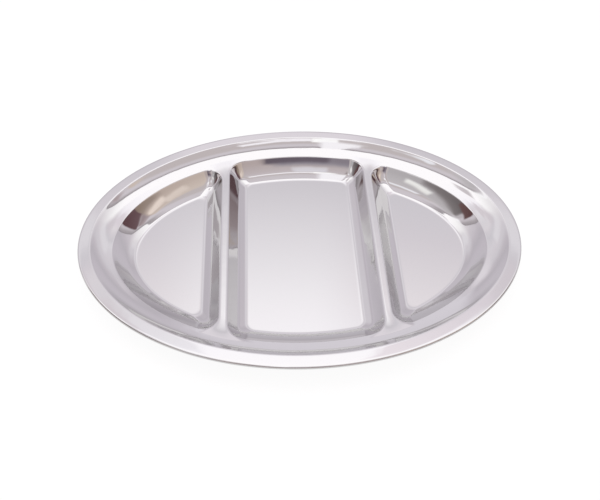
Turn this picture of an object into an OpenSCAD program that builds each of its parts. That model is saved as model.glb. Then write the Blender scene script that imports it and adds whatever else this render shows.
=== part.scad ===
// Oval serving plate with three wells, pressed from one sheet of steel, its edge rolled round a wire.
// Millimetres. The plate stands on its well floors at z = 0, centred, with its long axis on X.

/* [Plate] */
// Length over the rolled edge
plate_l = 350; // [320:1:400]
// Width over the rolled edge
plate_w = 246; // [225:1:280]
// Thickness of the sheet
sheet_t = 0.7; // [0.5:0.05:0.9]

/* [Rim] */
// Width of the sloping rim, from the outer edge to the ridge
rim_w = 9.8; // [8:0.1:14]
// Fall of the rim from the ridge to the outer edge
rim_fall = 1; // [0.6:0.1:2]
// Bend radius of the ridge, on the upper face
ridge_r = 2; // [1.5:0.1:3]
// Outside diameter of the rolled edge
curl_d = 3.2; // [3:0.1:4]
// How far the edge is rolled round, in degrees
curl_turn = 290; // [270:5:310]
// Clearance round the wire inside the rolled edge
wire_gap = 0.1; // [0.05:0.05:0.2]

/* [Shoulder and land] */
// Plan width of the steep shoulder inside the ridge
shoulder_w = 7; // [5:0.1:8]
// Fall of the shoulder
shoulder_fall = 5.1; // [4:0.1:6]
// Bend radius at the foot of the shoulder, on the upper face
shoulder_r = 40; // [10:1:45]
// Plan width of the land between the shoulder and the wells
land_w = 9; // [8.5:0.1:14]
// Fall of the land towards the wells
land_fall = 3.4; // [2:0.1:5]

/* [Wells] */
// Depth of the wells below their lips
well_depth = 12.4; // [10:0.1:16]
// Bend radius of the lips, on the upper face
lip_r = 2.5; // [1.5:0.1:3]
// Plan width of the walls beside the land, from their lip down to the knee
wall_w = 10.5; // [8:0.1:13]
// Bend radius of the knee in those walls, on the upper face
knee_r = 30; // [10:1:40]
// Plan width of the bevel between that knee and the floor
bevel_w = 5.5; // [4.5:0.1:8]
// Height of that bevel
bevel_h = 3.2; // [2.5:0.1:4]
// Bend radius between that bevel and the floor, on the upper face
floor_r = 5; // [3:0.5:7]
// Width of the middle well between its lips
middle_well_w = 117; // [100:1:130]
// Width of a divider between the lips on its two sides
divider_w = 5.3; // [5:0.1:10]
// Plan width of the walls beside the dividers, from their lip down to the knee
divider_wall_w = 8.2; // [7:0.1:11]
// Bend radius of the knee in those walls, on the upper face
divider_knee_r = 10; // [5:0.5:15]
// Plan width of the bevel between that knee and the floor
divider_bevel_w = 6.1; // [4.5:0.1:8]
// Height of that bevel
divider_bevel_h = 3.5; // [2.5:0.1:4]
// Bend radius between that bevel and the floor, on the upper face
divider_floor_r = 6; // [3:0.5:8]
// Corner radius of the middle well at its lip
middle_corner_r = 15; // [10:0.5:22]
// Corner radius of the two end wells at their lips
end_corner_r = 11; // [8:0.5:18]
// Corner radius of the middle well at its floor
middle_floor_corner_r = 5.5; // [3:0.5:7]
// Corner radius of the two end wells at their floors
end_floor_corner_r = 4.5; // [2:0.5:5]

/* [Hidden] */

// Steps in a bend of the sheet, round the rolled edge, round the wire, along a well's corner,
// along a divider, and along the oval outside an end well and outside the middle well
bend_steps = 3;
curl_steps = 7;
wire_steps = 10;
corner_steps = 6;
divider_steps = 4;
end_steps = 9;
middle_steps = 4;

half_l = plate_l / 2;
half_w = plate_w / 2;

// Heights of the upper face
floor_z = sheet_t;
lip_z = floor_z + well_depth;
foot_z = lip_z + land_fall;
ridge_z = foot_z + shoulder_fall;

// Distances in from the outer edge
foot_in = rim_w + shoulder_w;
lip_in = foot_in + land_w;

// Each wall: plan width down to its knee, radius of the knee, plan width and height of its bevel,
// radius of its bend into the floor
LAND_WALL = [wall_w, knee_r, bevel_w, bevel_h, floor_r];
DIVIDER_WALL = [divider_wall_w, divider_knee_r, divider_bevel_w, divider_bevel_h, divider_floor_r];

// The collar: a line round each well, half a divider's width outside its lip
collar_w = divider_w / 2;
collar_in = lip_in - collar_w;
land_angle = atan2(land_fall, land_w);
collar_z = lip_z + collar_w * tan(land_angle);
divider_x = (middle_well_w + divider_w) / 2;

// The rolled edge, and where the flat of the rim runs into it
curl_r = curl_d / 2;
rim_angle = atan2(rim_fall, rim_w);
rim_up = [-sin(rim_angle), cos(rim_angle)];
rim_edge_in = curl_r * (1 - sin(rim_angle));
RIM_EDGE = [rim_edge_in, ridge_z - (rim_w - rim_edge_in) * tan(rim_angle)];
RIDGE = [rim_w, ridge_z];
FOOT = [foot_in, foot_z];
CURL_CENTRE = RIM_EDGE - curl_r * rim_up;
wire_r = curl_r - sheet_t - wire_gap;

function unit(v) = v / norm(v);
function left_of(v) = [-v.y, v.x];
function turned(v, angle) = [v.x * cos(angle) - v.y * sin(angle), v.x * sin(angle) + v.y * cos(angle)];
function blend(a, b, share) = a + (b - a) * share;
function backwards(list) = [for (i = [len(list) - 1:-1:0]) list[i]];
function evenly(from, to, steps) = [for (i = [1:steps]) blend(from, to, i / steps)];

// A point of the oval that lies a distance in from the outer edge.
// Its angle runs from 0 at the end of the plate to 90 at its side.
function outward(t) = unit([half_w * cos(t), half_l * sin(t)]);
function oval(t, inset) = [half_l * cos(t), half_w * sin(t)] - inset * outward(t);

// The angle at which that oval is a distance x from the middle of the plate, halving the range to its end
function oval_angle(x, inset, low = 0, high = 90) =
    let (mid = (low + high) / 2)
    mid == low || mid == high ? mid
    : oval(mid, inset).x > x ? oval_angle(x, inset, mid, high)
    : oval_angle(x, inset, low, mid);

// One bend of the sheet, in section, on the face that lies a depth below the upper one
function bend(before, corner, after, radius, depth) =
    let (
        u = unit(corner - before),
        v = unit(after - corner),
        angle = atan2(u.x * v.y - u.y * v.x, u * v),
        way = sign(angle),
        r = radius + way * depth,
        low_corner = corner - depth * (left_of(u) + left_of(v)) / (1 + u * v),
        spoke = -way * r * left_of(u),
        centre = low_corner - u * r * tan(abs(angle) / 2) - spoke
    )
    [for (i = [0:bend_steps]) centre + turned(spoke, angle * i / bend_steps)];

// Lip, knee and floor bend in section, counted from the lip, coming from the land or from a divider
function wall_section(before, wall, depth) =
    let (
        lip = [0, lip_z],
        knee = [wall[0], floor_z + wall[3]],
        foot = [wall[0] + wall[2], floor_z],
        floor_point = [wall[0] + 2 * wall[2], floor_z]
    )
    concat(
        bend(before, lip, knee, lip_r, depth),
        bend(lip, knee, foot, wall[1], depth),
        bend(knee, foot, floor_point, wall[4], depth)
    );
function land_section(depth) = wall_section([-land_w, foot_z], LAND_WALL, depth);
function divider_section(depth) = wall_section([-divider_w, lip_z], DIVIDER_WALL, depth);

// The rim in section, from the collar out over the ridge, round the rolled edge and back underneath
function rim_bends(depth) =
    concat(
        bend(RIM_EDGE, RIDGE, FOOT, ridge_r, depth),
        bend(RIDGE, FOOT, [lip_in, lip_z], shoulder_r, depth)
    );
function collar_point(depth) = [collar_in, collar_z - depth / cos(land_angle)];
function curl_arc(radius) =
    [for (i = [0:curl_steps]) CURL_CENTRE + radius * turned(rim_up, curl_turn * i / curl_steps)];
RIM_SECTION = concat(
    [collar_point(0)],
    backwards(rim_bends(0)),
    curl_arc(curl_r),
    backwards(curl_arc(curl_r - sheet_t)),
    rim_bends(sheet_t),
    [collar_point(sheet_t)]
);

// Each well: distance of its divider's lip from the middle of the plate, the side of that lip that it
// lies on, its corner radius at the lip, the oval angle where it meets the plate's axis, its steps
// along the oval, its corner radius at the floor
MIDDLE_WELL = [middle_well_w / 2, -1, middle_corner_r, 90, middle_steps, middle_floor_corner_r];
END_WELL = [middle_well_w / 2 + divider_w, 1, end_corner_r, 0, end_steps, end_floor_corner_r];

// The oval angle at which a corner of this radius runs into the oval this far in from the outer edge
function corner_angle(well, line_x, radius, inset) = oval_angle(line_x + well[1] * radius, inset + radius);
function lip_corner_angle(well) = corner_angle(well, well[0], well[2], lip_in);
junction_angle = oval_angle(divider_x, collar_in);
// Where the points along a divider's middle pass from its end to its straight stretch
divider_turn_y = oval(lip_corner_angle(END_WELL), lip_in + end_corner_r).y;

// Oval angles of a collar's points, from the plate's axis to the junction with the divider
function collar_angles(well) = concat(
    [well[3]],
    evenly(well[3], lip_corner_angle(well), well[4]),
    evenly(lip_corner_angle(well), junction_angle, corner_steps / 2)
);

// A quarter of the line round a well, half of it for an end well: the collar, and a level of the wall
function collar_row(well, depth) =
    let (
        from_land = collar_point(depth),
        top_z = lip_z - depth,
        junction = oval(junction_angle, collar_in)
    )
    concat(
        [for (t = collar_angles(well)) [each oval(t, from_land.x), from_land.y]],
        [for (left = evenly(1, 0, corner_steps / 2))
            [divider_x, blend(divider_turn_y, junction.y, left), blend(top_z, from_land.y, left * left)]],
        [for (y = evenly(divider_turn_y, 0, divider_steps)) [divider_x, y, top_z]]
    );
function wall_row(well, from_land, from_divider, radius) =
    let (
        inset = lip_in + from_land.x,
        line_x = well[0] + well[1] * from_divider.x,
        corner = corner_angle(well, line_x, radius, inset),
        centre = oval(corner, inset + radius),
        start = outward(corner),
        start_turn = atan2(start.y, start.x),
        end_turn = well[1] > 0 ? 180 : 0
    )
    concat(
        [for (t = concat([well[3]], evenly(well[3], corner, well[4]))) [each oval(t, inset), from_land.y]],
        [for (share = evenly(0, 1, corner_steps))
            let (turn = blend(start_turn, end_turn, share))
            [each centre + radius * [cos(turn), sin(turn)], blend(from_land.y, from_divider.y, share)]],
        [for (y = evenly(centre.y, 0, divider_steps)) [line_x, y, from_divider.y]]
    );
// A corner keeps its wall's slope, so its radius shrinks with the distance in from the lip,
// and runs out smoothly to the radius at the floor
function corner_radius(well, inset) =
    let (
        floor_corner_r = well[5],
        left = well[2] - inset - floor_corner_r
    )
    floor_corner_r + (left + norm([left, floor_corner_r])) / 2;
function well_rows(well, depth) =
    let (from_land = land_section(depth), from_divider = divider_section(depth))
    concat(
        [collar_row(well, depth)],
        [for (i = [0:len(from_land) - 1])
            wall_row(well, from_land[i], from_divider[i], corner_radius(well, from_land[i].x))]
    );

// A patch is its points, row by row, and its triangles. A hub closes a floor.
function flat(rows) = [for (row = rows) each row];
function grid(rows, cols) =
    [for (r = [0:rows - 2], c = [0:cols - 2])
        let (i = r * cols + c)
        each [[i, i + 1, i + cols + 1], [i, i + cols + 1, i + cols]]];
function fan(rows, cols) =
    let (last = (rows - 1) * cols)
    [for (i = [last:last + cols - 2]) [i, i + 1, last + cols]];
function patch(rows, hub = []) =
    let (n = len(rows), cols = len(rows[0]))
    [concat(flat(rows), hub), concat(grid(n, cols), len(hub) > 0 ? fan(n, cols) : [])];
function turned_over(patch) = [patch[0], [for (f = patch[1]) backwards(f)]];
function quarter(patch, x, y) =
    let (moved = [[for (p = patch[0]) [p.x * x + 0, p.y * y + 0, p.z]], patch[1]])
    x * y > 0 ? moved : turned_over(moved);
function all_quarters(patches) = [for (x = [1, -1], y = [1, -1], p = patches) quarter(p, x, y)];
function joined(patches, i = 0, points = [], faces = []) =
    i == len(patches) ? [points, faces]
    : let (n = len(points), more = [for (f = patches[i][1]) f + [n, n, n]])
    joined(patches, i + 1, concat(points, patches[i][0]), concat(faces, more));

module solid_of(patches) {
    mesh = joined(all_quarters(patches));
    polyhedron(mesh[0], mesh[1]);
}

RIM_ANGLES = concat(
    collar_angles(END_WELL),
    [for (i = [1:len(collar_angles(MIDDLE_WELL)) - 1]) backwards(collar_angles(MIDDLE_WELL))[i]]
);

function swept(section, angles) = [for (p = section) [for (t = angles) [each oval(t, p.x), p.y]]];

function well_patch(well, hub_x, depth) = patch(well_rows(well, depth), [[hub_x, 0, floor_z - depth]]);
function well_patches(depth) = [
    well_patch(END_WELL, (END_WELL[0] + half_l - lip_in) / 2, depth),
    turned_over(well_patch(MIDDLE_WELL, 0, depth))
];

module pressed_plate() {
    under = [for (p = well_patches(sheet_t)) turned_over(p)];
    color("gainsboro")
    solid_of(concat([turned_over(patch(swept(RIM_SECTION, RIM_ANGLES)))], well_patches(0), under));
}

module rim_wire() {
    ring = [for (i = [0:wire_steps]) CURL_CENTRE + wire_r * turned(rim_up, i * 360 / wire_steps)];
    color("darkgray")
    solid_of([patch(swept(ring, RIM_ANGLES))]);
}

pressed_plate();
rim_wire();
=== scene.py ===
"""An oval serving plate of polished stainless steel with three pressed wells, on a white studio floor."""

import math

import bmesh
import bpy
from mathutils import Matrix, Vector


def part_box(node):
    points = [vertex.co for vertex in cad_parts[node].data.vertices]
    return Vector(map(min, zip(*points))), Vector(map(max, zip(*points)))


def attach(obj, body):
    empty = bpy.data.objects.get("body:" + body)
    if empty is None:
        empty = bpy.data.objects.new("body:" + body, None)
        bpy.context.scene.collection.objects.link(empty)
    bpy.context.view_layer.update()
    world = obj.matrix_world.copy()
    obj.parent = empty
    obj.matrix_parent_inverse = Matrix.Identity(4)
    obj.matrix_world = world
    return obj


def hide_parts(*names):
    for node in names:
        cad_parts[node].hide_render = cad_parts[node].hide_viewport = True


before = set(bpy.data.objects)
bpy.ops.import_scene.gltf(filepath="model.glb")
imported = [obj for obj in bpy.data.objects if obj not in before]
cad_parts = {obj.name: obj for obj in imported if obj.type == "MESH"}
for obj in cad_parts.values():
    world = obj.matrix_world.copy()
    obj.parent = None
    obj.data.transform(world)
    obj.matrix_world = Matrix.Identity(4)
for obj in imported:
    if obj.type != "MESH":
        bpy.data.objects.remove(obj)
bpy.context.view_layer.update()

MM = 0.001

# Sizes of the plate. Its length and width come from the frame.
plate_low, plate_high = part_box("pressed_plate")
HALF_L = (plate_high.x - plate_low.x) / 2
HALF_W = (plate_high.y - plate_low.y) / 2
SHEET_T = 0.7 * MM

RIM_W = 9.8 * MM
RIM_FALL = 1 * MM
RIDGE_R = 2 * MM
CURL_R = 1.6 * MM
CURL_TURN = math.radians(290)

SHOULDER_W = 7 * MM
SHOULDER_FALL = 5.1 * MM
SHOULDER_R = 40 * MM
LAND_W = 9 * MM
LAND_FALL = 3.4 * MM

# A well's wall is steep from its lip to a knee, then a bevel runs out to the floor.
# Beside the dividers it is steeper and its knee sharper than beside the land.
WELL_DEPTH = 12.4 * MM
LAND_WALL = {
    "wall_w": 10.5 * MM, "hollow": math.radians(6), "knee_r": 30 * MM,
    "bevel_w": 5.5 * MM, "bevel_h": 3.2 * MM, "floor_r": 5 * MM,
}
DIVIDER_WALL = {
    "wall_w": 8.2 * MM, "hollow": math.radians(3), "knee_r": 10 * MM,
    "bevel_w": 6.1 * MM, "bevel_h": 3.5 * MM, "floor_r": 6 * MM,
}
LIP_R = 2.5 * MM
MIDDLE_WELL_W = 117 * MM
DIVIDER_W = 5.3 * MM
MIDDLE_CORNER_R = 15 * MM
MIDDLE_FLOOR_CORNER_R = 5.5 * MM
END_CORNER_R = 11 * MM
END_FLOOR_CORNER_R = 4.5 * MM
FLOOR_MARGIN = 3 * MM

# Where a divider runs into the land, the sheet is drawn soft this far round and this far up the land
WEB_R = 18 * MM
WEB_RISE = 0.4 * MM
WEB_PASSES = 100
WEB_FACTOR = 0.5

# Steps of the mesh along the oval, round a well's corner and along a divider, then across the bends
END_STEPS = 14
MIDDLE_STEPS = 8
CORNER_STEPS = 12
DIVIDER_STEPS = 8
BEND_STEPS = 5
CURL_STEPS = 12
ARC_STEPS = 6
FLAT_STEPS = 3
MERGE = 0.01 * MM

# Heights of the upper face, and distances in from the outer edge
FLOOR_Z = plate_low.z + SHEET_T
LIP_Z = FLOOR_Z + WELL_DEPTH
FOOT_Z = LIP_Z + LAND_FALL
RIDGE_Z = FOOT_Z + SHOULDER_FALL
FOOT_IN = RIM_W + SHOULDER_W
LIP_IN = FOOT_IN + LAND_W

# The collar is a line round each well, half a divider's width outside its lip
COLLAR_W = DIVIDER_W / 2
COLLAR_IN = LIP_IN - COLLAR_W
COLLAR_Z = LIP_Z + COLLAR_W * LAND_FALL / LAND_W
DIVIDER_X = (MIDDLE_WELL_W + DIVIDER_W) / 2

# Camera, set to the photograph's view: it looks at the middle of the plate's floor
CAMERA_AZIMUTH = math.radians(-3.88)
CAMERA_ELEVATION = math.radians(49.87)
CAMERA_ROLL = math.radians(1.42)
CAMERA_DISTANCE = 617.9 * MM
CAMERA_LENS_MM = 45.66
CAMERA_SENSOR_MM = 36
IMAGE_W = 600
IMAGE_H = 500
LOOK_AT_PIXEL = (300.9, 250.05)

# Studio that the polished steel mirrors: colours as the steel shows them, angles in degrees.
# Height is above the floor, and turn is from the camera's side towards the plate's right.
STUDIO_STRENGTH = 1.66
ZENITH = 90
WALL_COLOURS = (
    (0, "#AEA9B0"), (4, "#B6B1B8"), (8, "#BEB9C0"), (14, "#BEB8C0"), (21, "#B7B2B9"), (26, "#BFB9C0"),
    (31, "#CBC7CD"), (36, "#D0CBD1"), (40, "#D2CED4"), (45, "#CAC7CD"), (48, "#D1CCD2"), (50, "#D8D3D8"),
    (53, "#E2DDE1"), (56, "#EBE8ED"), (60, "#F4F1F6"), (66, "#FBF9FD"), (74, "#FFFDFF"),
)
# The studio's open front is an arch, out of which the steel sees the room.
# Its colours go by share of the way out to its edge.
ARCH_HALF_WIDTH = 115
ARCH_HEIGHT = 84
ARCH_ROUNDNESS = 3.1
ARCH_EDGE = (0.985, 1.015)
ARCH_COLOURS = (
    (0.0, "#BBB3B3"), (0.6, "#BDB5B6"), (0.70, "#C9C3C8"), (0.80, "#CBC5CB"),
    (0.86, "#BFB9BE"), (0.92, "#A8A2A6"), (0.97, "#9F999D"), (0.99, "#8E898C"),
)
# Each panel: left, right, bottom, top, softness of its edge, its colour below and above.
# Those of the walls hang on both sides, by how far they are turned away from the camera.
WALL_PANELS = {
    "low_glow": (175.5, 190, -5, 24, 2, "#CCC8CF", "#D2CED5"),
    "back_glow": (168, 190, 26, 38, 4, "#DAD5DB", "#DAD5DB"),
    "window": (170, 190, 43, 58, 5, "#C4C0C6", "#FEFCFF"),
    "side_glow": (126, 154, 36, 44, 2.5, "#D8D5DA", "#D9D6DB"),
    "side_gap": (124, 142, 46, 56, 4, "#CCC5CB", "#D3CDD3"),
    "side_light": (100, 128, 30, 56, 6, "#C4BDC4", "#FFFFFF"),
    "side_glare": (100, 124, 54, 74, 4, "#FFFDFF", "#FFFDFF"),
}
# Drapes hang on one side only, by their turn, outside the arch; the room's panels are inside it.
DRAPES = {
    "right_drape": (138, 154, 53, 70, 2, "#D5CED5", "#ECE5EA"),
    "left_veil": (-158, -143, 51, 68, 2.5, "#D2CED3", "#EDEBF0"),
    "left_drape": (-146, -134, 54, 62, 2, "#CFC8CD", "#D6D0D6"),
    "left_shade": (-122, -106, 60, 68, 2, "#C4BEC2", "#CCC6CA"),
}
ROOM_PANELS = {
    "skirting": (-99, 104, -12, 8, 2, "#4A3D3C", "#4A3D3C"),
    "room": (-99, 104, 26, 36, 2, "#4A3D3C", "#594A4B"),
    "tan_card": (37, 90, 34, 54, 2, "#A8978F", "#CABDB4"),
    "tan_shade": (66, 90, 33, 40.5, 2, "#857468", "#9A8C84"),
    "cream_edge": (68, 87, 43, 48, 1.6, "#E4D6CC", "#DED1C8"),
    "cream_end": (53, 70, 46.5, 51.5, 1.6, "#D8CBC2", "#D3C6BD"),
    "right_flag": (89, 107, 25, 39, 0.9, "#583F42", "#6A5559"),
    "flag_top": (89, 104, 39, 48.5, 2, "#8E7F82", "#B2A6A9"),
    "front_card": (-20, 37, 44, 64, 2, "#AA9C98", "#C2BABE"),
    "dark_card": (-26, 12, 45.5, 54.5, 2.6, "#766C75", "#948F97"),
    "dark_core": (-9, 16, 47, 51.5, 2, "#5A5059", "#6E6670"),
    "pale_patch": (-9, 6, 56.5, 64, 1.5, "#D0CCD1", "#D8D6DE"),
    "post": (-26, -18, 58, 64, 1.5, "#A69E9E", "#8B8284"),
    "gap": (-13, -1, 65.5, 70, 1.2, "#FFFFFF", "#FFFFFF"),
    "gap_end": (-1, 30, 65.5, 68.5, 1, "#F4F1F6", "#F4F1F6"),
    "split": (-26, -5, 68, 90, 3, "#F4F2F6", "#F4F2F6"),
    "grey_card": (-98, -33, 26, 58, 3, "#8A8586", "#BEBABD"),
    "grey_shade": (-98, -55, 26, 46.5, 3, "#3E3638", "#807A7B"),
    "bright_streak": (-66, -46, 48.5, 53, 1.6, "#F0F0EE", "#E0DFDD"),
    "pale_band": (-65, -39, 59, 63.5, 1.6, "#E3E2E8", "#E9EAEF"),
    "low_patch": (-51, -40, 39, 45, 1.5, "#C2C2C2", "#A5A6A9"),
    "left_flag": (-104.5, -87, 25, 38, 1.2, "#4A3336", "#67504F"),
    "left_edge": (-102, -98.5, 38, 48, 1.5, "#B8B2B6", "#B8B2B6"),
    "left_light": (-120, -103, 43, 60, 3, "#F2F0F4", "#FFFFFF"),
}

# Surface of the steel: unevenness left by the press, haze of wiping, and scuffs, which are drawn wider
# than real ones so that they show. Where haze and scuffs meet, the steel goes from clear to hazy.
WAVE_LENGTH = 12 * MM
WAVE_DEPTH = 0.05 * MM
HAZE_SIZE = 22 * MM
SCUFF_L = 18 * MM
SCUFF_W = 1.6 * MM
SCUFF_TURN = math.radians(35)
CLEAR_ROUGHNESS = 0.02
HAZY_ROUGHNESS = 0.06
CLEAR_BELOW = 0.1
HAZY_ABOVE = 0.4
WIRE_DAPPLE = 0.8 * MM
WIRE_ROUGHNESS = 0.3

# Floor, in metres to each side: the white that it shows by itself, and the share of the light that it
# gives back, which the shadow takes away
FLOOR_REACH = 4
FLOOR_GLOW = 0.9
FLOOR_SHADE = 0.14


def spread(start, end, steps):
    """Values from start to end, without the start."""
    return [start + (end - start) * i / steps for i in range(1, steps + 1)]


def outward(t):
    """Direction square to the oval at the angle t."""
    return Vector((HALF_W * math.cos(t), HALF_L * math.sin(t))).normalized()


def oval(t, inset):
    """Point of the oval that lies inset from the plate's edge, t being 0 at the plate's end."""
    return Vector((HALF_L * math.cos(t), HALF_W * math.sin(t))) - inset * outward(t)


def oval_angle(x, inset):
    """Angle at which that oval is a distance x from the middle of the plate."""
    low, high = 0.0, math.pi / 2
    while low < (mid := (low + high) / 2) < high:
        if oval(mid, inset).x > x:
            low = mid
        else:
            high = mid
    return mid


def bend(before, corner, after, radius, steps):
    """Arc that rounds one corner of the sheet, in section."""
    u = (corner - before).normalized()
    v = (after - corner).normalized()
    angle = math.atan2(u.cross(v), u.dot(v))
    start = corner - u * radius * math.tan(abs(angle) / 2)
    spoke = math.copysign(radius, angle) * Vector((u.y, -u.x))
    return [start - spoke + Matrix.Rotation(angle * i / steps, 2) @ spoke for i in range(steps + 1)]


def hollow_point(a, b, hollow):
    """Where the tangents cross of a hollow arc from a to b, which turns through the angle hollow."""
    half = (b - a) / 2
    down = Vector((half.y, -half.x)) * math.copysign(math.tan(hollow / 2), half.x)
    return a + half + down


def hollow_arc(a, b, hollow, start, end):
    """The arc itself, as far as the bends at its two ends, which reach to start and end, leave it."""
    corner = hollow_point(a, b, hollow)
    reach = min((corner - start).length, (end - corner).length)
    return bend(a, corner, b, reach / math.tan(hollow / 2), ARC_STEPS)


def rim_section():
    """The sheet from the collar out over the shoulder and round the rolled edge, as inset and height."""
    slope = math.atan2(RIM_FALL, RIM_W)
    up = Vector((-math.sin(slope), math.cos(slope)))
    edge_in = CURL_R * (1 - math.sin(slope))
    collar = Vector((COLLAR_IN, COLLAR_Z))
    foot = Vector((FOOT_IN, FOOT_Z))
    ridge = Vector((RIM_W, RIDGE_Z))
    edge = Vector((edge_in, RIDGE_Z - (RIM_W - edge_in) * math.tan(slope)))
    centre = edge - CURL_R * up
    foot_bend = bend(collar, foot, ridge, SHOULDER_R, BEND_STEPS)
    ridge_bend = bend(foot, ridge, edge, RIDGE_R, BEND_STEPS)
    curl = [
        centre + Matrix.Rotation(CURL_TURN * i / CURL_STEPS, 2) @ (CURL_R * up)
        for i in range(CURL_STEPS + 1)
    ]
    return (
        spread(collar, foot_bend[0], FLAT_STEPS)
        + foot_bend[1:]
        + spread(foot_bend[-1], ridge_bend[0], FLAT_STEPS)[:-1]
        + ridge_bend
        + spread(ridge_bend[-1], curl[0], FLAT_STEPS)
        + curl[1:]
    )


def wall_section(before, wall_w, hollow, knee_r, bevel_w, bevel_h, floor_r):
    """Lip, wall, knee, bevel, floor bend and floor's margin, as distance in from the lip and height."""
    lip = Vector((0, LIP_Z))
    knee = Vector((wall_w, FLOOR_Z + bevel_h))
    foot = Vector((wall_w + bevel_w, FLOOR_Z))
    margin = Vector((FLOOR_MARGIN, 0))
    corner = hollow_point(lip, knee, hollow)
    lip_bend = bend(before, lip, corner, LIP_R, BEND_STEPS)
    knee_bend = bend(corner, knee, foot, knee_r, BEND_STEPS)
    floor_bend = bend(knee, foot, foot + margin, floor_r, BEND_STEPS)
    return (
        lip_bend
        + hollow_arc(lip, knee, hollow, lip_bend[-1], knee_bend[0])[1:-1]
        + knee_bend
        + spread(knee_bend[-1], floor_bend[0], FLAT_STEPS)[:-1]
        + floor_bend
        + spread(floor_bend[-1], floor_bend[-1] + margin, FLAT_STEPS)
    )


class Well:
    """One well, over a quarter of the plate: where its divider's lip is, on which side of it the well
    lies, its corner's radius at the lip and at the floor, and its oval angle at the plate's axis."""

    def __init__(self, lip_x, side, corner_r, floor_corner_r, axis_angle, steps):
        self.lip_x = lip_x
        self.side = side
        self.corner_r = corner_r
        self.floor_corner_r = floor_corner_r
        self.axis_angle = axis_angle
        self.steps = steps
        self.corner = self.corner_angle(lip_x, corner_r, LIP_IN)

    def corner_angle(self, line_x, radius, inset):
        return oval_angle(line_x + self.side * radius, inset + radius)

    def collar_angles(self):
        """Oval angles of the collar, from the plate's axis to where it meets the divider."""
        return (
            [self.axis_angle]
            + spread(self.axis_angle, self.corner, self.steps)
            + spread(self.corner, JUNCTION, CORNER_STEPS // 2)
        )

    def wall_row(self, from_land, from_divider, radius):
        """Points of one level line of the wall, from the plate's axis to the middle of the divider."""
        inset = LIP_IN + from_land.x
        line_x = self.lip_x + self.side * from_divider.x
        corner = self.corner_angle(line_x, radius, inset)
        centre = oval(corner, inset + radius)
        start = math.atan2(*reversed(outward(corner)))
        end = math.pi if self.side > 0 else 0.0
        angles = [self.axis_angle] + spread(self.axis_angle, corner, self.steps)
        row = [(*oval(t, inset), from_land.y) for t in angles]
        for i in range(1, CORNER_STEPS + 1):
            share = i / CORNER_STEPS
            turn = start + (end - start) * share
            point = centre + radius * Vector((math.cos(turn), math.sin(turn)))
            row.append((*point, from_land.y + (from_divider.y - from_land.y) * share))
        row += [(line_x, y, from_divider.y) for y in spread(centre.y, 0.0, DIVIDER_STEPS)]
        return [Vector(p) for p in row]

    def wall_rows(self):
        from_land = wall_section(Vector((-LAND_W, FOOT_Z)), **LAND_WALL)
        from_divider = wall_section(Vector((-DIVIDER_W, LIP_Z)), **DIVIDER_WALL)
        return [
            self.wall_row(land, divider, self.corner_radius(land.x))
            for land, divider in zip(from_land, from_divider)
        ]

    def corner_radius(self, inset):
        """A corner keeps its wall's slope, so its radius shrinks with the distance in from the lip."""
        left = self.corner_r - inset - self.floor_corner_r
        return self.floor_corner_r + (left + math.hypot(left, self.floor_corner_r)) / 2


JUNCTION = oval_angle(DIVIDER_X, COLLAR_IN)
END_WELL = Well(MIDDLE_WELL_W / 2 + DIVIDER_W, 1, END_CORNER_R, END_FLOOR_CORNER_R, 0.0, END_STEPS)
MIDDLE_WELL = Well(
    MIDDLE_WELL_W / 2, -1, MIDDLE_CORNER_R, MIDDLE_FLOOR_CORNER_R, math.pi / 2, MIDDLE_STEPS)


def draw_line(bm, start, points):
    """Draws a line of edges on from a vertex and returns its vertices."""
    line = [start]
    for point in points:
        made = bmesh.ops.extrude_vert_indiv(bm, verts=[line[-1]])
        made["verts"][0].co = point
        line.append(made["verts"][0])
    return line


def next_row(bm, row, points):
    """Extrudes a row of vertices to new points and returns the new row."""
    edges = [bm.edges.get(pair) for pair in zip(row, row[1:])]
    made = bmesh.ops.extrude_edge_only(bm, edges=edges)
    new = {v for v in made["geom"] if isinstance(v, bmesh.types.BMVert)}
    moved = [next(e.other_vert(v) for e in v.link_edges if e.other_vert(v) in new) for v in row]
    for vert, point in zip(moved, points):
        vert.co = point
    return moved


def press_well(bm, well, collar):
    """Presses one well's wall and floor in from its collar."""
    rows = well.wall_rows()
    start = [v.co.copy() for v in collar]
    row = collar
    for share in spread(0.0, 1.0, FLAT_STEPS)[:-1]:
        row = next_row(bm, row, [a.lerp(b, share) for a, b in zip(start, rows[0])])
    for points in rows:
        row = next_row(bm, row, points)
    return row


def close_floor(bm, row, *corners):
    """Closes a floor with one flat face, along the plate's axes."""
    verts = row + [bmesh.ops.create_vert(bm, co=c)["vert"][0] for c in corners]
    bmesh.ops.contextual_create(bm, geom=verts)


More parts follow.
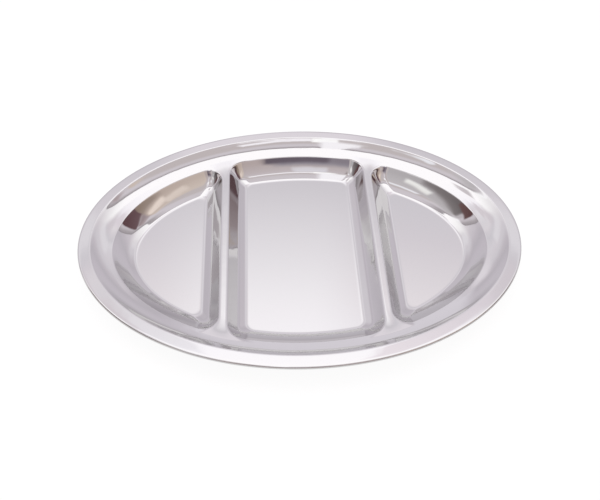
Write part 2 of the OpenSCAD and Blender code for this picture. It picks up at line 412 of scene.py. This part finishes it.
def plate_pressing():
    """The whole sheet: one quarter is drawn and mirrored, then the sheet is given its thickness."""
    bm = bmesh.new()
    angles = END_WELL.collar_angles() + MIDDLE_WELL.collar_angles()[-2::-1]
    first = bmesh.ops.create_vert(bm, co=(*oval(angles[0], COLLAR_IN), COLLAR_Z))["vert"][0]
    collar = draw_line(bm, first, [(*oval(t, COLLAR_IN), COLLAR_Z) for t in angles[1:]])
    meeting = len(END_WELL.collar_angles()) - 1
    junction = collar[meeting]

    # The middle line of the divider, falling from the collar to the divider's flat top
    turn_y = oval(END_WELL.corner, LIP_IN + END_CORNER_R).y
    half_corner = CORNER_STEPS // 2
    heights = [LIP_Z + (COLLAR_Z - LIP_Z) * left ** 2 for left in spread(1.0, 0.0, half_corner)]
    fall = [(DIVIDER_X, y, z) for y, z in zip(spread(junction.co.y, turn_y, half_corner), heights)]
    flat = [(DIVIDER_X, y, LIP_Z) for y in spread(turn_y, 0.0, DIVIDER_STEPS)]
    divider = draw_line(bm, junction, fall + flat)

    row = collar
    for inset, z in rim_section():
        row = next_row(bm, row, [Vector((*oval(t, inset), z)) for t in angles])
    end_floor = press_well(bm, END_WELL, collar[:meeting + 1] + divider[1:])
    middle_floor = press_well(bm, MIDDLE_WELL, collar[:meeting - 1:-1] + divider[1:])
    meeting_place = junction.co.copy()
    web = [
        v for v in bm.verts
        if LIP_Z - MERGE < v.co.z < COLLAR_Z + WEB_RISE and (v.co - meeting_place).length < WEB_R
    ]
    for _ in range(WEB_PASSES):
        bmesh.ops.smooth_vert(
            bm, verts=web, factor=WEB_FACTOR, use_axis_x=True, use_axis_y=True, use_axis_z=True)
    close_floor(bm, end_floor)
    close_floor(bm, middle_floor, (0, 0, FLOOR_Z))

    for axis in "XY":
        bmesh.ops.mirror(bm, geom=bm.verts[:] + bm.edges[:] + bm.faces[:], axis=axis, merge_dist=MERGE)
    bmesh.ops.remove_doubles(bm, verts=bm.verts[:], dist=MERGE)
    bmesh.ops.recalc_face_normals(bm, faces=bm.faces[:])
    floor = max(bm.faces, key=lambda f: f.calc_area())
    if floor.normal.z < 0:
        bmesh.ops.reverse_faces(bm, faces=bm.faces[:])
    for face in bm.faces:
        face.smooth = True

    mesh = bpy.data.meshes.new("plate_pressing")
    bm.to_mesh(mesh)
    bm.free()
    piece = bpy.data.objects.new("plate_pressing", mesh)
    bpy.context.scene.collection.objects.link(piece)
    rounding = piece.modifiers.new("rounding", "SUBSURF")
    rounding.levels = rounding.render_levels = 1
    sheet = piece.modifiers.new("sheet", "SOLIDIFY")
    sheet.thickness = SHEET_T
    sheet.offset = -1
    sheet.use_even_offset = True
    return piece


def linear(hex_colour):
    """An sRGB hex colour as linear red, green, blue and alpha."""
    parts = [int(hex_colour[i:i + 2], 16) / 255 for i in (1, 3, 5)]
    return (*[c / 12.92 if c <= 0.04045 else ((c + 0.055) / 1.055) ** 2.4 for c in parts], 1.0)


def add(tree, kind, settings=(), values=(), links=()):
    """Adds a node to a tree with its settings, its sockets' values and links from other outputs."""
    made = tree.nodes.new(kind)
    for name, value in dict(settings).items():
        setattr(made, name, value)
    for name, value in dict(values).items():
        made.inputs[name].default_value = value
    for name, source in dict(links).items():
        tree.links.new(source, made.inputs[name])
    return made


def new_material(name):
    material = bpy.data.materials.new(name)
    material.use_nodes = True
    material.node_tree.nodes.clear()
    return material, material.node_tree


def polished_stainless():
    """Stainless steel sheet, pressed and mirror polished: clear reflections that waver a little where
    the press left the sheet uneven, under a faint haze of wiping and the scuffs of use."""
    material, tree = new_material("polished_stainless_steel")
    place = add(tree, "ShaderNodeTexCoord").outputs["Object"]
    waves = add(tree, "ShaderNodeTexNoise", values={
        "Scale": 1 / WAVE_LENGTH, "Detail": 1.0}, links={"Vector": place})
    level = add(tree, "ShaderNodeSeparateXYZ", links={0: place}).outputs["Z"]
    drawn = add(tree, "ShaderNodeMapRange", values={
        "From Min": FLOOR_Z, "From Max": FLOOR_Z + LAND_WALL["bevel_h"]}, links={"Value": level})
    uneven = add(tree, "ShaderNodeBump", values={"Distance": WAVE_DEPTH}, links={
        "Height": waves.outputs[0], "Strength": drawn.outputs[0]})
    haze = add(tree, "ShaderNodeTexNoise", values={
        "Scale": 1 / HAZE_SIZE, "Detail": 4.0}, links={"Vector": place})
    along = add(tree, "ShaderNodeMapping", {"vector_type": "TEXTURE"}, {
        "Rotation": (0.0, 0.0, SCUFF_TURN), "Scale": (SCUFF_L, SCUFF_W, SCUFF_L)}, {"Vector": place})
    scuffs = add(tree, "ShaderNodeTexNoise", values={
        "Scale": 1.0, "Detail": 2.0}, links={"Vector": along.outputs[0]})
    dulled = add(tree, "ShaderNodeMath", {"operation": "MULTIPLY"}, links={
        0: haze.outputs[0], 1: scuffs.outputs[0]})
    roughness = add(tree, "ShaderNodeMapRange", values={
        "From Min": CLEAR_BELOW,
        "From Max": HAZY_ABOVE,
        "To Min": CLEAR_ROUGHNESS,
        "To Max": HAZY_ROUGHNESS,
    }, links={"Value": dulled.outputs[0]})
    shader = add(tree, "ShaderNodeBsdfPrincipled", values={
        "Base Color": linear("#CBCACA"),
        "Metallic": 1.0,
    }, links={"Roughness": roughness.outputs[0], "Normal": uneven.outputs[0]})
    add(tree, "ShaderNodeOutputMaterial", links={"Surface": shader.outputs["BSDF"]})
    return material


def drawn_wire():
    """Steel wire, drawn through a die: a dull grey sheen, dappled by the scale that the die left."""
    material, tree = new_material("drawn_steel_wire")
    place = add(tree, "ShaderNodeTexCoord").outputs["Object"]
    scale = add(tree, "ShaderNodeTexNoise", values={
        "Scale": 1 / WIRE_DAPPLE, "Detail": 2.0}, links={"Vector": place})
    colour = add(tree, "ShaderNodeMix", {"data_type": "RGBA"}, {
        "A": linear("#A19D9B"), "B": linear("#C4C0BE")}, {"Factor": scale.outputs[0]})
    shader = add(tree, "ShaderNodeBsdfPrincipled", values={
        "Metallic": 1.0, "Roughness": WIRE_ROUGHNESS}, links={"Base Color": colour.outputs["Result"]})
    add(tree, "ShaderNodeOutputMaterial", links={"Surface": shader.outputs["BSDF"]})
    return material


def white_floor():
    """Matt white studio floor: to the eye it is plain white but for the plate's soft shadow."""
    material, tree = new_material("white_studio_floor")
    path = add(tree, "ShaderNodeLightPath").outputs
    seen = add(tree, "ShaderNodeMath", {"operation": "MAXIMUM"}, links={
        0: path["Is Camera Ray"], 1: path["Is Glossy Ray"]})
    seen = add(tree, "ShaderNodeMath", {"operation": "MAXIMUM"}, links={
        0: seen.outputs[0], 1: path["Is Transmission Ray"]})
    matt = add(tree, "ShaderNodeBsdfDiffuse", values={"Color": linear("#F4F4F4")})
    glow = add(tree, "ShaderNodeEmission", values={"Color": (1, 1, 1, 1), "Strength": FLOOR_GLOW})
    shaded = add(tree, "ShaderNodeBsdfDiffuse", values={
        "Color": (FLOOR_SHADE, FLOOR_SHADE, FLOOR_SHADE, 1)})
    white = add(tree, "ShaderNodeAddShader", links={0: glow.outputs[0], 1: shaded.outputs[0]})
    mixed = add(tree, "ShaderNodeMixShader", links={
        0: seen.outputs[0], 1: matt.outputs[0], 2: white.outputs[0]})
    add(tree, "ShaderNodeOutputMaterial", links={"Surface": mixed.outputs[0]})
    return material


def make_floor():
    bm = bmesh.new()
    bmesh.ops.create_grid(bm, x_segments=1, y_segments=1, size=FLOOR_REACH)
    mesh = bpy.data.meshes.new("studio_floor")
    bm.to_mesh(mesh)
    bm.free()
    floor = bpy.data.objects.new("studio_floor", mesh)
    bpy.context.scene.collection.objects.link(floor)
    floor.data.materials.append(white_floor())


def fill_ramp(ramp, stops):
    """Sets a colour ramp's stops from places and hex colours."""
    while len(ramp.elements) < len(stops):
        ramp.elements.new(1.0)
    for element, (place, colour) in zip(ramp.elements, stops):
        element.position = place
        element.color = linear(colour)


def hang_panel(tree, backdrop, turn, height, panel):
    """Hangs one panel before the backdrop, with soft edges, and returns the colour of both."""
    left, right, bottom, top, soft, low_colour, high_colour = panel
    mask = None
    for angle, place, way in ((turn, left, 1), (turn, right, -1), (height, bottom, 1), (height, top, -1)):
        edge = add(tree, "ShaderNodeMapRange", {"interpolation_type": "SMOOTHSTEP"}, {
            "From Min": place - soft,
            "From Max": place + soft,
            "To Min": float(way < 0),
            "To Max": float(way > 0),
        }, {"Value": angle}).outputs[0]
        if mask:
            edge = add(tree, "ShaderNodeMath", {"operation": "MULTIPLY"}, links={
                0: mask, 1: edge}).outputs[0]
        mask = edge
    up = add(tree, "ShaderNodeMapRange", values={
        "From Min": bottom, "From Max": top}, links={"Value": height})
    shade = add(tree, "ShaderNodeMix", {"data_type": "RGBA"}, {
        "A": linear(low_colour), "B": linear(high_colour)}, {"Factor": up.outputs[0]})
    both = add(tree, "ShaderNodeMix", {"data_type": "RGBA"}, links={
        "Factor": mask, "A": backdrop, "B": shade.outputs["Result"]})
    return both.outputs["Result"]


def make_world():
    """The studio round the plate, by direction: pale walls that brighten upwards, lit panels at the
    sides, and on the camera's side an arch through which the room is seen, with its own panels."""
    world = bpy.data.worlds.new("studio")
    bpy.context.scene.world = world
    world.use_nodes = True
    tree = world.node_tree
    tree.nodes.clear()
    direction = add(tree, "ShaderNodeTexCoord").outputs["Generated"]
    axes = add(tree, "ShaderNodeSeparateXYZ", links={0: direction}).outputs
    rise = add(tree, "ShaderNodeMath", {"operation": "ARCSINE"}, links={0: axes["Z"]})
    height = add(tree, "ShaderNodeMath", {"operation": "DEGREES"}, links={0: rise.outputs[0]}).outputs[0]
    front = add(tree, "ShaderNodeMath", {"operation": "MULTIPLY"}, {1: -1.0}, {0: axes["Y"]})
    bearing = add(tree, "ShaderNodeMath", {"operation": "ARCTAN2"}, links={
        0: axes["X"], 1: front.outputs[0]})
    turn = add(tree, "ShaderNodeMath", {"operation": "DEGREES"}, links={0: bearing.outputs[0]}).outputs[0]
    away = add(tree, "ShaderNodeMath", {"operation": "ABSOLUTE"}, links={0: turn}).outputs[0]

    share = add(tree, "ShaderNodeMath", {"operation": "DIVIDE"}, {1: float(ZENITH)}, {0: height})
    walls = add(tree, "ShaderNodeValToRGB", links={0: share.outputs[0]})
    fill_ramp(walls.color_ramp, [(angle / ZENITH, colour) for angle, colour in WALL_COLOURS])
    outside = walls.outputs[0]
    for panel in WALL_PANELS.values():
        outside = hang_panel(tree, outside, away, height, panel)
    for panel in DRAPES.values():
        outside = hang_panel(tree, outside, turn, height, panel)

    off_arch = None
    for angle, reach in ((away, ARCH_HALF_WIDTH), (height, ARCH_HEIGHT)):
        part = add(tree, "ShaderNodeMath", {"operation": "DIVIDE"}, {1: float(reach)}, {0: angle})
        part = add(tree, "ShaderNodeMath", {"operation": "ABSOLUTE"}, links={0: part.outputs[0]})
        part = add(tree, "ShaderNodeMath", {"operation": "POWER"}, {1: ARCH_ROUNDNESS}, {
            0: part.outputs[0]})
        if off_arch:
            part = add(tree, "ShaderNodeMath", {"operation": "ADD"}, links={
                0: off_arch, 1: part.outputs[0]})
        off_arch = part.outputs[0]
    arch = add(tree, "ShaderNodeValToRGB", links={0: off_arch})
    fill_ramp(arch.color_ramp, ARCH_COLOURS)
    room = arch.outputs[0]
    for panel in ROOM_PANELS.values():
        room = hang_panel(tree, room, turn, height, panel)
    inside = add(tree, "ShaderNodeMapRange", {"interpolation_type": "SMOOTHSTEP"}, {
        "From Min": ARCH_EDGE[0],
        "From Max": ARCH_EDGE[1],
        "To Min": 1.0,
        "To Max": 0.0,
    }, {"Value": off_arch})
    colour = add(tree, "ShaderNodeMix", {"data_type": "RGBA"}, links={
        "Factor": inside.outputs[0], "A": outside, "B": room})

    studio = add(tree, "ShaderNodeBackground", values={"Strength": STUDIO_STRENGTH}, links={
        "Color": colour.outputs["Result"]})
    white = add(tree, "ShaderNodeBackground", values={"Color": (1, 1, 1, 1), "Strength": 1.0})
    path = add(tree, "ShaderNodeLightPath")
    seen = add(tree, "ShaderNodeMixShader", links={
        0: path.outputs["Is Camera Ray"], 1: studio.outputs[0], 2: white.outputs[0]})
    add(tree, "ShaderNodeOutputWorld", links={"Surface": seen.outputs[0]})


def make_camera():
    data = bpy.data.cameras.new("camera")
    data.sensor_width = CAMERA_SENSOR_MM
    data.lens = CAMERA_LENS_MM
    data.shift_x = (IMAGE_W / 2 - LOOK_AT_PIXEL[0]) / IMAGE_W
    data.shift_y = (LOOK_AT_PIXEL[1] - IMAGE_H / 2) / IMAGE_W
    camera = bpy.data.objects.new("camera", data)
    bpy.context.scene.collection.objects.link(camera)
    turn = (
        Matrix.Rotation(CAMERA_AZIMUTH, 4, "Z")
        @ Matrix.Rotation(math.pi / 2 - CAMERA_ELEVATION, 4, "X")
        @ Matrix.Rotation(CAMERA_ROLL, 4, "Z")
    )
    target = Vector((0, 0, FLOOR_Z))
    camera.matrix_world = Matrix.Translation(target + turn @ Vector((0, 0, CAMERA_DISTANCE))) @ turn
    bpy.context.scene.camera = camera


pressing = plate_pressing()
pressing.data.materials.append(polished_stainless())
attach(pressing, "root")
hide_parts("pressed_plate")

wire_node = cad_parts["rim_wire"]
wire_node.data.materials.clear()
wire_node.data.materials.append(drawn_wire())

make_floor()
make_world()
make_camera()

bpy.context.scene.view_settings.view_transform = "Standard"
